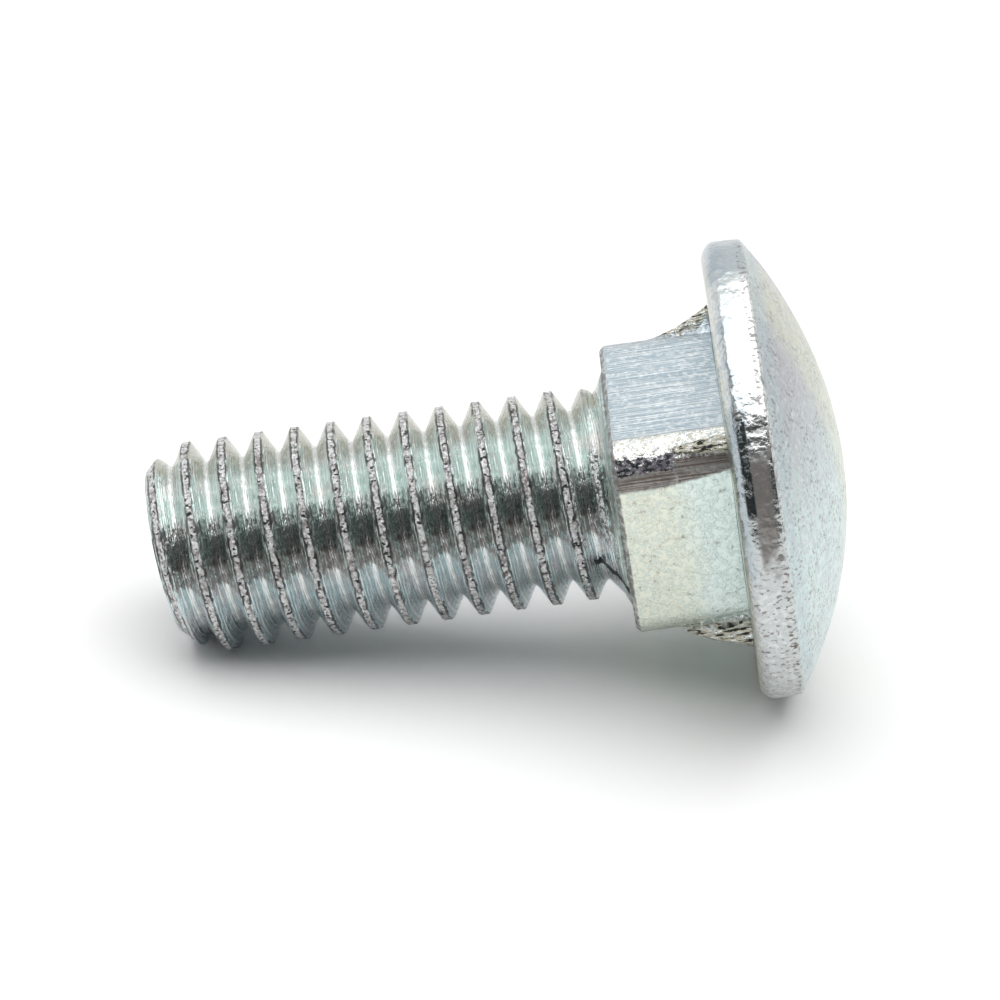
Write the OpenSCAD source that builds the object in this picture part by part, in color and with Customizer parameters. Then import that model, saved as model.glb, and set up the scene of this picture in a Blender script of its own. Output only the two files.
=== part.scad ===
// Carriage bolt: domed round head, square neck with flared corners, and a coarse thread up to the neck.
// It is modelled along +Z with the bearing face of the head at z = 0, then laid on its side,
// where it rests on the rim of the head and on the first full turn of the thread.
// Millimetres. The origin is the middle of the laid bolt's box, on the surface that it lies on.

/* [Head] */
// Diameter of the head over its rim
head_d = 19.7; // [18:0.1:23]
// Height of the head, from the bearing face to the top of the dome
head_h = 4.9; // [4:0.05:6]
// Height of the rim's edge, where the dome begins
rim_h = 1.8; // [1.3:0.05:2.4]
// Rounding of the rim on the side of the bearing face
rim_round = 0.6; // [0.2:0.05:0.9]
// Flat broken onto the edge between the rim and the dome
rim_break = 0.25; // [0.1:0.05:0.35]

/* [Square neck] */
// Width of the square neck across its flats
neck_w = 9.85; // [9.4:0.05:10.6]
// Depth of the square neck below the bearing face
neck_h = 4.9; // [3.5:0.05:6.5]
// Corner radius of the square neck
neck_round = 1.6; // [0.8:0.1:2]
// Bevel round the end of the square neck
neck_bevel = 0.2; // [0.1:0.05:0.4]

/* [Flared corners] */
// Width of the flare that runs out of each corner
fin_w = 1.5; // [1:0.1:2]
// Length of a flare along the neck
fin_len = 2.9; // [1.5:0.1:3.2]
// How far a flare stands out of the corner at the bearing face
fin_rise = 1.05; // [0.4:0.05:1.3]

/* [Thread] */
// Length of the bolt below the head
bolt_len = 24.75; // [20:0.05:50]
// Outside diameter of the thread
thread_d = 9.22; // [8.9:0.02:9.4]
// Diameter at the root of the thread
root_d = 7.3; // [7.1:0.02:7.7]
// Distance from one turn of the thread to the next
pitch = 1.5875; // [1.5:0.0125:1.7]
// Width of the flat on the crest
crest_flat = 0.35; // [0.2:0.05:0.45]
// Width of the rounded root
root_flat = 0.18; // [0.1:0.02:0.24]
// Diameter of the rolled shank where the thread runs out
shank_d = 8.4; // [8:0.05:8.7]
// Length over which the thread runs out towards the neck
runout = 1.3; // [0.8:0.1:2]
// Length of the cone between the neck and the shank
neck_cone = 0.75; // [0.5:0.05:1]

/* [Point] */
// Diameter of the bolt's end face
point_d = 7.2; // [6.2:0.1:7.4]
// Diameter at which the point's cone meets the plane of the end face
point_cone_d = 7.6; // [7.4:0.05:8]
// Half angle of the point's cone
point_angle = 21.8; // [16:0.2:30]
// Angle round the bolt at which the crest of the thread reaches the end face
thread_start = 158; // [0:1:359]
// How far the cropped end face leans out of square, in degrees
end_lean = 4.5; // [0:0.5:6]
// Angle round the bolt towards which the end face leans out
end_lean_turn = 144; // [0:1:359]

/* [Lying] */
// Turn of the bolt about its own axis, as it came to rest
roll = 7; // [0:1:89]

/* [Hidden] */

steel = [0.77, 0.79, 0.79];
round_fn = 96;
steps = 48;         // points of the thread in one turn
root_sag = 0.05;    // depth of the rounded root below its two edges
spare_turns = 1.5;  // turns of thread that are made beyond the end face and cropped off
start_gap = 0.1;    // plain band between the helical strip and the rings that close it
tie = 0.6;          // how far one form reaches into the next

// Head
head_seam = 5.5;    // turn of the head's seam, so that it stays off the line that the bolt lies on
rim_r = head_d / 2;
dome_base_r = rim_r - rim_break / 2;
dome_rise = head_h - rim_h;
dome_r = (dome_base_r * dome_base_r + dome_rise * dome_rise) / (2 * dome_rise);
dome_z = head_h - dome_r;

// Neck
half_w = neck_w / 2;
corner_r = (half_w - neck_round) * sqrt(2) + neck_round;
fin_sink = 0.15;    // how deep a flare starts inside the corner
cone_sink = 0.15;   // how deep the cone's small end lies below the root of the thread

// The cone under the neck: a wide collar, a waist where it steepens, and a foot inside the shank
collar_r = shank_d / 2 + 1.3 * neck_cone;
waist_r = shank_d / 2 + 0.45 * neck_cone;
waist_z = -neck_h - 0.4 * neck_cone;
cone_foot_r = root_d / 2 - cone_sink;
cone_foot_z = waist_z - (waist_r - cone_foot_r) * 0.8;

// Thread
major_r = thread_d / 2;
minor_r = root_d / 2;
shank_r = shank_d / 2;
point_face_r = point_d / 2;
crest_half = crest_flat / 2;
root_half = root_flat / 2;
first_crest_z = -bolt_len - pitch * spare_turns;
shank_foot_z = first_crest_z - pitch / 2 - start_gap;
shank_top_z = -neck_h + 2 * tie;
last_step = floor(steps * ((shank_top_z - start_gap - first_crest_z) / pitch - 0.5));

// Share of the full thread depth that is left at height z, down to none at the neck
function fullness(z) = max(0, min(1, (-neck_h - z) / runout));

// Radius of the point's cone at height z
function point_r(z) = point_cone_d / 2 + (z + bolt_len) * tan(point_angle);

function crest_r(z) = min(shank_r + (major_r - shank_r) * fullness(z), point_r(z));
function root_r(z) = min(shank_r + (minor_r - shank_r) * fullness(z), point_r(z) - root_sag);

function crest_z(i) = first_crest_z + pitch * i / steps;
function step_angle(i) = thread_start + 360 * (i / steps - spare_turns);
function on_shank(r, i, z) = [r * cos(step_angle(i)), r * sin(step_angle(i)), z];

// The thread's outline from one root to the next, without the root that the next turn shares
function root_point(i) =
    let (z = crest_z(i) - pitch / 2)
    on_shank(root_r(z), i, z);

function flank_points(i) =
    let (
        z = crest_z(i),
        low_z = z - pitch / 2 + root_half,
        high_z = z + pitch / 2 - root_half
    )
    [
        on_shank(root_r(low_z) + root_sag, i, low_z),
        on_shank(crest_r(z - crest_half), i, z - crest_half),
        on_shank(crest_r(z + crest_half), i, z + crest_half),
        on_shank(root_r(high_z) + root_sag, i, high_z)
    ];

function ring(r, first, z) = [for (i = [0:steps - 1]) on_shank(r, first + i, z)];

roots = [for (i = [0:last_step + steps]) root_point(i)];
flanks = [for (i = [0:last_step]) each flank_points(i)];
flank_count = 4;

// How the laid bolt leans: the rim's rounding and the crests of the first turns share one plane
rim_centre_r = rim_r - rim_round;
function lean(p) =
    let (
        across = rim_centre_r - p.x,
        along = p.z - rim_round
    )
    90 + atan2(along, across) + asin(rim_round / norm([across, along]));

function turned(p, a) = [p.x * cos(a) - p.y * sin(a), p.x * sin(a) + p.y * cos(a), p.z];

first_laid = ceil(steps * (spare_turns + 0.5));
laid_points = [for (i = [first_laid:first_laid + 3 * steps])
    each [for (p = flank_points(i)) turned(p, roll)]];
tilt = min([for (p = laid_points) lean(p)]);
lift = rim_centre_r * cos(tilt) - rim_round * sin(tilt) + rim_round;

// The laid bolt's reach along X: the edge of its leaning end face, and the dome
end_edge = [for (i = [0:steps - 1])
    let (
        a = 360 * i / steps,
        out = point_face_r * cos(a - end_lean_turn)
    )
    turned([point_face_r * cos(a), point_face_r * sin(a), -bolt_len - out * tan(end_lean)], roll)];
left_x = min([for (p = end_edge) p.z * cos(tilt) + p.x * sin(tilt)]);
right_x = dome_z * cos(tilt) + dome_r;

// Lays the upright bolt down, with its head towards +X
module lay() {
    translate([-(left_x + right_x) / 2, 0, lift])
        rotate([0, 90 - tilt, 0])
            rotate(roll)
                children();
}

// Half of the head's outline: the dome's arc over a rim with one rounded and one broken edge
module head_outline() {
    intersection() {
        translate([0, dome_z])
            circle(r = dome_r, $fn = 2 * round_fn);
        union() {
            polygon([
                [0, 0],
                [rim_r - rim_round, 0],
                [rim_r - rim_round, rim_round],
                [rim_r, rim_round],
                [rim_r, rim_h - rim_break / 2],
                [rim_r - rim_break, rim_h + rim_break / 2],
                [rim_r - rim_break, head_h + tie],
                [0, head_h + tie]
            ]);
            translate([rim_r - rim_round, rim_round])
                circle(r = rim_round, $fn = round_fn);
        }
    }
}

module head() {
    rotate(head_seam)
        rotate_extrude($fn = 2 * round_fn)
            head_outline();
}

// The square section with rounded corners
module neck_section() {
    union() {
        square([neck_w, neck_w - 2 * neck_round], center = true);
        square([neck_w - 2 * neck_round, neck_w], center = true);
        for (x = [-1, 1], y = [-1, 1])
            translate([x * (half_w - neck_round), y * (half_w - neck_round)])
                circle(r = neck_round, $fn = round_fn);
    }
}

// The neck's side view, with its bevelled end, as a bar that runs right through
module bevelled_side() {
    depth = tie - cone_foot_z;
    rotate([90, 0, 0])
        linear_extrude(height = 2 * neck_w, center = true)
            polygon([
                [-half_w - tie, tie],
                [half_w + tie, tie],
                [half_w + tie, -neck_h + neck_bevel + tie],
                [half_w - neck_bevel, -neck_h],
                [half_w - neck_bevel, -depth],
                [-half_w + neck_bevel, -depth],
                [-half_w + neck_bevel, -neck_h],
                [-half_w - tie, -neck_h + neck_bevel + tie]
            ]);
}

// The turned limit of the neck: its corners end square, and a cone runs in from there to the shank
module neck_turning() {
    rotate_extrude($fn = round_fn)
        polygon([
            [0, tie],
            [corner_r + tie, tie],
            [corner_r + tie, -neck_h + neck_bevel + tie],
            [corner_r - neck_bevel, -neck_h],
            [collar_r, -neck_h],
            [waist_r, waist_z],
            [cone_foot_r, cone_foot_z],
            [0, cone_foot_z]
        ]);
}

module neck() {
    intersection() {
        translate([0, 0, cone_foot_z - tie])
            linear_extrude(height = 2 * tie - cone_foot_z)
                neck_section();
        bevelled_side();
        rotate(90)
            bevelled_side();
        neck_turning();
    }
}

// The four flares: a turned, tapered flange that is left standing only along the corners
module flares() {
    intersection() {
        rotate_extrude($fn = round_fn)
            polygon([
                [0, -fin_len],
                [corner_r - fin_sink, -fin_len],
                [corner_r + fin_rise, 0],
                [corner_r + fin_rise, tie / 2],
                [0, tie / 2]
            ]);
        union()
            for (a = [45, 135])
                rotate(a)
                    translate([0, 0, -fin_len / 2])
                        cube([4 * neck_w, fin_w, 2 * fin_len], center = true);
    }
}

// The rolled thread: one helical strip, whose first and last turns run into plain bands
module rolled_thread() {
    top_step = last_step + steps;
    strip = top_step + 1;
    foot = strip + flank_count * (last_step + 1);
    top = foot + steps;
    points = [
        each roots,
        each flanks,
        each ring(point_r(shank_foot_z), 0, shank_foot_z),
        each ring(shank_r, last_step, shank_top_z)
    ];
    // The k-th point across the strip at step i; the last one is the root of the next turn
    function at(i, k) =
        k == 0 ? i
        : k > flank_count ? i + steps
        : strip + flank_count * i + k - 1;
    function around(base, i) = base + i % steps;
    faces = [
        for (i = [0:last_step - 1], k = [0:flank_count]) each [
            [at(i, k), at(i + 1, k + 1), at(i + 1, k)],
            [at(i, k), at(i, k + 1), at(i + 1, k + 1)]
        ],
        for (i = [0:steps - 2]) each [
            [around(foot, i), at(i + 1, 0), around(foot, i + 1)],
            [around(foot, i), at(i, 0), at(i + 1, 0)]
        ],
        [around(foot, steps - 1), at(steps - 1, 0), around(foot, 0)],
        for (k = [0:flank_count])
            [at(steps - 1, 0), at(0, k + 1), at(0, k)],
        [at(steps - 1, 0), at(0, 0), around(foot, 0)],
        for (i = [1:steps - 1]) each [
            [at(last_step + i, 0), around(top, i + 1), at(last_step + i + 1, 0)],
            [at(last_step + i, 0), around(top, i), around(top, i + 1)]
        ],
        [at(last_step + 1, 0), around(top, 0), around(top, 1)],
        [at(last_step + 1, 0), at(top_step, 0), around(top, 0)],
        for (k = [0:flank_count])
            [at(last_step + 1, 0), at(last_step, k), at(last_step, k + 1)],
        [for (i = [0:steps - 1]) around(foot, i)],
        [for (i = [0:steps - 1]) around(top, steps - 1 - i)]
    ];
    polyhedron(points = points, faces = faces, convexity = 10);
}

// What is cropped off at the point: all that lies past the leaning end face and its bevelled edge
module cropped_end() {
    wide_r = major_r + tie;
    depth = pitch * (spare_turns + 2);
    translate([0, 0, -bolt_len])
        rotate(end_lean_turn)
            rotate([0, end_lean, 0])
                rotate_extrude($fn = round_fn)
                    polygon([
                        [0, 0],
                        [point_face_r, 0],
                        [wide_r, wide_r - point_face_r],
                        [wide_r, -depth],
                        [0, -depth]
                    ]);
}

module threaded_shank() {
    difference() {
        rolled_thread();
        cropped_end();
    }
}

module carriage_bolt() {
    color(steel)
        lay()
            union() {
                head();
                neck();
                flares();
                threaded_shank();
            }
}

carriage_bolt();
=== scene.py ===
"""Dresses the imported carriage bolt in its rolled, worn and zinc plated form, and sets its stage.

The bolt is built upright in millimetres, with its bearing face at height 0 and its head above it.
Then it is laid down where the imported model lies, in metres.
"""

import math

import bmesh
import bpy
import numpy as np
from bpy.props import FloatProperty, FloatVectorProperty, IntProperty, PointerProperty
from mathutils import Matrix, Vector, noise


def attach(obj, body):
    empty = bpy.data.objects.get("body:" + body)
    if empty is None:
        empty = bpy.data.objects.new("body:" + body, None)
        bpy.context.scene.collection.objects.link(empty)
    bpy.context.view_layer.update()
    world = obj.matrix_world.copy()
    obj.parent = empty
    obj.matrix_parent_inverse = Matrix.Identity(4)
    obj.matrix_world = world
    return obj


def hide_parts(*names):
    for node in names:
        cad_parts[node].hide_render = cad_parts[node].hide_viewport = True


bl_info = {
    "name": "Carriage bolt",
    "version": (1, 0, 0),
    "blender": (4, 5, 0),
    "location": "View3D > Sidebar > Carriage bolt",
    "description": "Makes a zinc plated carriage bolt and a pale studio for it",
    "category": "Add Mesh",
}

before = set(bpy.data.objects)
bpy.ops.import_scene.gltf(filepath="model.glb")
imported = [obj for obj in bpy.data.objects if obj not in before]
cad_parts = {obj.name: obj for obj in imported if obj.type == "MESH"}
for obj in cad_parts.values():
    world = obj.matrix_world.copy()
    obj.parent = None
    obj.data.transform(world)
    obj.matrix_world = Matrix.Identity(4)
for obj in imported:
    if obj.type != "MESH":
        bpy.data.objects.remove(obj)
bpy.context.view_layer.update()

MM = 0.001
NODE = "carriage_bolt"
BODY = "root"

# Corners of the neck, by their angle round the upright bolt, and how the flare of each came out:
# how far it stands out, how long it is, how its outline bulges (under 1) or hollows (over 1), half
# its width at the head, and how far it lies off the middle of the corner
FLARES = {45: (1.05, 2.9, 1.0, 0.75, 0.0), 135: (1.1, 2.9, 1.6, 0.7, 0.0),
          225: (0.8, 2.35, 0.8, 0.46, -0.28), 315: (1.2, 2.95, 0.6, 0.7, 0.1)}
BACK_CORNER, NEAR_CORNER = 135, 225  # behind the upper flat, and towards the camera
UP_ANGLE = 173.0  # the side of the upright bolt that looks up once it is laid

# How the skin is made, in millimetres where it is a size
TURN_STEPS = 192         # points along one turn of the thread
PROFILE_POINTS = 21      # points across the thread, from root to root
SPARE_TURNS = 1.5        # turns of thread that are made past the end face and cropped off
THREAD_TIE = 0.6         # how far the thread reaches into the neck
ROOT_SAG = 0.05          # depth of the rounded root below its two edges
THREAD_SOFTNESS = 0.05   # rounding of the thread's edges
WELD = 0.0005            # points of two turns that are closer than this are one
ON_PLANE = 0.001         # how far a cropped point may lie off the plane that cropped it
END_RINGS = (0.985, 0.96, 0.85, 0.7, 0.5, 0.3, 0.1)  # rings of the end face, as shares of it
FLAT_STEPS, CORNER_STEPS = 12, 15                    # points on half of a flat, half of a corner
NECK_RINGS, RIM_RINGS, DOME_RINGS = 52, 9, 44
CREASE = math.radians(48)  # faces that meet more steeply have a crisp line between them

# How deep each place is worn, as a share of the wear
CREST_WEAR, NECK_WEAR, RIM_WEAR, DOME_WEAR, FLARE_WEAR = 1.0, 0.35, 0.9, 0.35, 0.6

BOARD_TONE = 0.8  # how much light the white floor sends back


def length(name, description, default, **more):
    """A size in metres."""
    return FloatProperty(name=name, description=description, default=default, unit="LENGTH",
                         precision=5, **more)


def in_degrees(name, description, degrees):
    return FloatProperty(name=name, description=description, default=math.radians(degrees),
                         subtype="ANGLE")


def position(name, description, default):
    """A place in metres."""
    return FloatVectorProperty(name=name, description=description, default=default,
                               subtype="XYZ", unit="LENGTH", precision=5)


def amount(name, description, default):
    return FloatProperty(name=name, description=description, default=default, min=0.0)


def colour(name, description, rgb):
    return FloatVectorProperty(name=name, description=description, default=(*rgb, 1.0),
                               subtype="COLOR", size=4, min=0.0, max=1.0)


def grey(value):
    return (value, value, value, 1.0)


class BoltSizes(bpy.types.PropertyGroup):
    head_diameter: length("Head diameter", "Across the rim of the head", 0.0197)
    head_height: length("Head height", "From the bearing face to the top of the dome", 0.0049)
    rim_height: length("Rim height", "From the bearing face to the edge of the dome", 0.0018)
    rim_round: length("Rim rounding", "Rounding of the rim towards the bearing face", 0.0006)
    rim_break: length("Rim break", "Flat between the rim and the dome", 0.00025)
    rim_swell: length("Rim swell", "How much further the rim reaches on its upper side", 0.00016)
    neck_width: length("Neck width", "Across the flats of the square neck", 0.00985)
    neck_depth: length("Neck depth", "From the bearing face to the end of the neck", 0.0049)
    neck_round: length("Neck rounding", "Corner radius of the square neck", 0.0016)
    neck_bevel: length("Neck bevel", "Bevel round the end of the neck", 0.0002)
    bolt_length: length("Bolt length", "From the bearing face to the end", 0.02475)
    thread_diameter: length("Thread diameter", "Outside diameter of the thread", 0.00922)
    root_diameter: length("Root diameter", "Diameter at the root of the thread", 0.0073)
    shank_diameter: length("Shank diameter", "Diameter where the thread runs out", 0.0084)
    pitch: length("Pitch", "From one turn of the thread to the next", 0.0015875)
    crest_flat: length("Crest flat", "Width of the flat on the crest", 0.00035)
    root_flat: length("Root flat", "Width of the rounded root", 0.00018)
    runout: length("Run-out", "Length over which the thread runs out", 0.0013)
    point_diameter: length("Point diameter", "Diameter of the end face", 0.0072)
    point_cone: length("Point cone", "Diameter of the point's cone at the end", 0.0081)
    point_angle: in_degrees("Point angle", "Half angle of the point's cone", 21.8)
    end_lean: in_degrees("End lean", "Lean of the end face out of square", 4.5)
    start_angle: in_degrees("Thread start", "Where the crest meets the end", 158.0)
    lean_angle: in_degrees("Lean of the end", "Side that the end leans to", 144.0)
    tilt: in_degrees("Tilt", "How far the laid bolt's axis rises to the head", 12.8289)
    roll: in_degrees("Roll", "Turn of the bolt about its own axis", 7.0)
    head_place: position("Head place", "Middle of the bearing face",
                         (0.00999222, 0.0, 0.00948587))
    wear: length("Wear", "Depth of the roughness on the crests", 0.00003)
    seed: IntProperty(name="Seed", description="Which pattern of wear is drawn", default=4)


class PlateColours(bpy.types.PropertyGroup):
    zinc: colour("Zinc", "The clean, bright plate", (0.84, 0.86, 0.85))
    flank: colour("Flank", "The plate on the flanks of the thread", (0.50, 0.60, 0.575))
    # Chalk also paints light streaks in the thread's band of painted shade
    chalk: colour("Chalk", "The crests and the rough places", (0.54, 0.52, 0.525))
    # Sky is a painted reflection low on the thread's flanks, and a film on the dome's outer ring
    sky: colour("Sky film", "The bluish plate low on the flanks", (0.50, 0.61, 0.64))
    rim: colour("Rim", "The duller plate low on the rim", (0.54, 0.57, 0.57))
    # Painted reflection and shade: the blue-grey of the neck's flat that looks up, and grey bands
    # on the rim
    blue: colour("Blue film", "The film on the upper flat and by the rim", (0.34, 0.41, 0.455))
    pale: colour("Pale film", "The film on the flats near the head", (0.72, 0.81, 0.78))
    cream: colour("Cream film", "The yellowish film on the flats", (0.76, 0.79, 0.68))
    lilac: colour("Lilac film", "The dull film in the dome's hatching", (0.49, 0.50, 0.53))
    dome: colour("Dome film", "The greenish film on the dome", (0.61, 0.73, 0.71))
    straw: colour("Straw film", "The yellow tint on the dome and the thread", (0.70, 0.72, 0.54))
    pink: colour("Pink film", "The pink tints on the thread", (0.70, 0.58, 0.57))
    gold: colour("Gold film", "The tints on the flares", (0.66, 0.60, 0.40))
    # Painted shade: the near corner's dark band
    painted_shade_purple: colour("Purple soil", "The tint of the corner's dark side", (0.10, 0.075, 0.12))
    # Brown is soil, and painted shade in the thread's dark band, on the near corner and on the rim
    brown: colour("Brown soil", "Soil in the thread's shade and elsewhere", (0.13, 0.085, 0.065))
    # Black is soil in pits, specks and torn lines, and painted shade along the crests and in the
    # dark bands
    black: colour("Black soil", "Soil in the pits and the torn lines", (0.012, 0.019, 0.019))


class StudioSettings(bpy.types.PropertyGroup):
    floor_size: length("Floor size", "Side of the square floor", 2.4)
    lens: FloatProperty(name="Lens", description="Focal length on a 36 mm sensor, in millimetres",
                        default=132.27)
    camera_place: position("Camera place", "Where the camera stands",
                           (-0.0081623, -0.1390027, 0.0847035))
    camera_aim: FloatVectorProperty(name="Camera aim", description="The way the camera looks",
                                    default=(0.05230432, 0.87305432, -0.48480967),
                                    subtype="DIRECTION", precision=5)
    camera_roll: in_degrees("Camera roll", "How far the camera is turned", 4.9846)
    overhead: amount("Overhead light", "Strength of the light above", 1.6)
    light_length: length("Light length", "How long the light above is, across the view", 0.9)
    light_reach: in_degrees("Light reach", "Where the light above ends behind the bolt, counted up"
                            " from the camera's side", 128.0)
    tent: amount("Tent", "Strength of the cloth round the light above", 0.5)
    fill: amount("Fill light", "Strength of the even light all round", 0.35)
    board: amount("White board", "Tone of the floor where it is seen", 1.08)
    room: amount("Dark room", "Strength of the room at the camera's side", 0.05)
    room_edge: in_degrees("Edge of the room", "Where the dark room starts to fade", 46.0)
    room_rise: in_degrees("Rise of the room", "How high the dark room reaches", 53.0)


def mm(value):
    return value / MM


def laid(sizes):
    """From the upright bolt in millimetres to the laid bolt in metres."""
    return (Matrix.Translation(sizes.head_place)
            @ Matrix.Rotation(math.pi / 2 - sizes.tilt, 4, "Y")
            @ Matrix.Rotation(sizes.roll, 4, "Z")
            @ Matrix.Scale(MM, 4))


class Nodes:
    """Adds nodes to a tree and links them, so that a tree is written as plain expressions."""

    def __init__(self, tree):
        self.tree = tree

    def put(self, socket, value):
        if isinstance(value, bpy.types.NodeSocket):
            self.tree.links.new(value, socket)
        elif value is not None:
            socket.default_value = value

    def add(self, kind, *values, named=None, **settings):
        node = self.tree.nodes.new(kind)
        for key, value in settings.items():
            setattr(node, key, value)
        for i, value in enumerate(values):
            self.put(node.inputs[i], value)
        for key, value in (named or {}).items():
            self.put(node.inputs[key], value)
        return node

    def math(self, operation, a, b=None, c=None):
        return self.add("ShaderNodeMath", a, b, c, operation=operation).outputs[0]

    def plus(self, a, b):
        return self.math("ADD", a, b)

    def minus(self, a, b):
        return self.math("SUBTRACT", a, b)

    def times(self, a, b):
        return self.math("MULTIPLY", a, b)

    def over(self, a, b):
        return self.math("DIVIDE", a, b)

    def most(self, a, b):
        return self.math("MAXIMUM", a, b)

    def between(self, value, low, high, out_low=0.0, out_high=1.0, soft=False):
        """Maps low..high to out_low..out_high and holds the ends."""
        kind = "SMOOTHSTEP" if soft else "LINEAR"
        return self.add("ShaderNodeMapRange", value, low, high, out_low, out_high,
                        interpolation_type=kind, clamp=True).outputs[0]

    def noise(self, vector, scale, detail=2.0, rough=0.5):
        node = self.add("ShaderNodeTexNoise", noise_dimensions="3D", named={
            "Vector": vector, "Scale": scale, "Detail": detail, "Roughness": rough})
        return node.outputs[0]

    def stretch(self, vector, x, y, z):
        return self.add("ShaderNodeVectorMath", vector, (x, y, z),
                        operation="MULTIPLY").outputs[0]

    def blend(self, kind, factor, a, b, first_input, output):
        """A Mix node. It has its own two inputs and its own output for each kind of data."""
        node = self.add("ShaderNodeMix", factor, data_type=kind)
        self.put(node.inputs[first_input], a)
        self.put(node.inputs[first_input + 1], b)
        return node.outputs[output]

    def mix(self, factor, a, b):
        return self.blend("RGBA", factor, a, b, 6, 2)

    def mix_value(self, factor, a, b):
        return self.blend("FLOAT", factor, a, b, 2, 0)

    def band(self, value, low, high, soft):
        """1 between two values, with soft edges outside them."""
        return self.times(self.between(value, low - soft, low, soft=True),
                          self.between(value, high + soft, high, soft=True))

    def all_of(self, *values):
        result = values[0]
        for value in values[1:]:
            result = self.times(result, value)
        return result

    def value_of(self, name):
        return self.add("ShaderNodeAttribute", attribute_name=name).outputs["Fac"]

    def end(self, kind, shader):
        """The tree's last node, which takes the shader."""
        self.tree.links.new(shader.outputs[0], self.add(kind).inputs["Surface"])


def cleared(owner):
    """The nodes of a new material or world, with nothing in them yet."""
    owner.use_nodes = True
    owner.node_tree.nodes.clear()
    return Nodes(owner.node_tree)


THREAD_INPUTS = {
    **dict.fromkeys(("Turns", "Pitch", "Outside radius", "Root radius", "Shank radius",
                     "Half crest", "Half root", "Start height", "Start angle", "End of run-out",
                     "Run-out", "Point height", "Point radius", "Point slope",
                     "Edge softness"), "NodeSocketFloat"),
    **dict.fromkeys(("Steps along", "Points across"), "NodeSocketInt"),
    "Material": "NodeSocketMaterial",
}


def thread_tree():
    """The rolled thread as a strip that winds round the axis: flat crests, rounded roots, a cone
    at the point and a run-out to the shank."""
    tree = bpy.data.node_groups.new("rolled_thread", "GeometryNodeTree")
    for name, kind in THREAD_INPUTS.items():
        tree.interface.new_socket(name=name, in_out="INPUT", socket_type=kind)
    tree.interface.new_socket(name="Geometry", in_out="OUTPUT", socket_type="NodeSocketGeometry")
    n = Nodes(tree)
    given = tree.nodes.new("NodeGroupInput").outputs
    pitch, softness = given["Pitch"], given["Edge softness"]
    outside, root, shank = (given[f"{name} radius"] for name in ("Outside", "Root", "Shank"))
    grid = n.add("GeometryNodeMeshGrid", given["Turns"], 1.0, given["Steps along"],
                 given["Points across"])
    place = n.add("ShaderNodeSeparateXYZ", n.add("GeometryNodeInputPosition").outputs[0])
    turn = n.plus(place.outputs["X"], n.times(given["Turns"], 0.5))
    across = n.times(place.outputs["Y"], pitch)
    height = n.plus(n.plus(given["Start height"], n.times(turn, pitch)), across)
    angle = n.plus(given["Start angle"], n.times(turn, math.tau))
    off = n.math("ABSOLUTE", across)
    half_pitch = n.times(pitch, 0.5)
    root_edge = n.minus(half_pitch, given["Half root"])
    flank = n.over(n.minus(root_edge, off), n.minus(root_edge, given["Half crest"]))
    depth = n.minus(n.minus(outside, root), ROOT_SAG)
    ridge = n.plus(n.plus(root, ROOT_SAG), n.times(flank, depth))
    crest = n.math("SMOOTH_MIN", ridge, outside, softness)
    dip = n.between(off, root_edge, half_pitch, 0.0, ROOT_SAG, soft=True)
    floor_of_root = n.minus(n.plus(root, ROOT_SAG), dip)
    full = n.math("SMOOTH_MAX", crest, floor_of_root, softness)
    fullness = n.between(n.minus(given["End of run-out"], height), 0.0, given["Run-out"])
    faded = n.plus(shank, n.times(n.minus(full, shank), fullness))
    cone = n.plus(given["Point radius"],
                  n.times(n.minus(height, given["Point height"]), given["Point slope"]))
    left = n.between(cone, root, outside)
    lowered = n.plus(root, n.times(n.minus(faded, root), left))
    radius = n.math("SMOOTH_MIN", lowered, cone, softness)
    out = n.add("ShaderNodeCombineXYZ", n.times(radius, n.math("COSINE", angle)),
                n.times(radius, n.math("SINE", angle)), height)
    moved = n.add("GeometryNodeSetPosition", grid.outputs[0], named={"Position": out.outputs[0]})
    joined = n.add("GeometryNodeMergeByDistance", moved.outputs[0], named={"Distance": WELD})
    real = n.add("GeometryNodeRealizeInstances", joined.outputs[0])
    painted = n.add("GeometryNodeSetMaterial", real.outputs[0],
                    named={"Material": given["Material"]})
    n.add("NodeGroupOutput", painted.outputs[0])
    return tree


def in_scene(name, data):
    """A new object, linked to the scene."""
    made = bpy.data.objects.new(name, data)
    bpy.context.scene.collection.objects.link(made)
    return made


def finished_mesh(made):
    """The mesh that an object's modifiers give."""
    shown = made.evaluated_get(bpy.context.evaluated_depsgraph_get())
    return bpy.data.meshes.new_from_object(shown)


def made_by_nodes(tree, name, values):
    """Runs a node tree on an empty mesh and gives the mesh that it makes."""
    carrier = in_scene(name, bpy.data.meshes.new(name))
    modifier = carrier.modifiers.new(name, "NODES")
    modifier.node_group = tree
    for item in tree.interface.items_tree:
        if item.in_out == "INPUT" and item.name in values:
            modifier[item.identifier] = values[item.name]
    mesh = finished_mesh(carrier)
    bpy.data.objects.remove(carrier)
    return mesh


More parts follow.
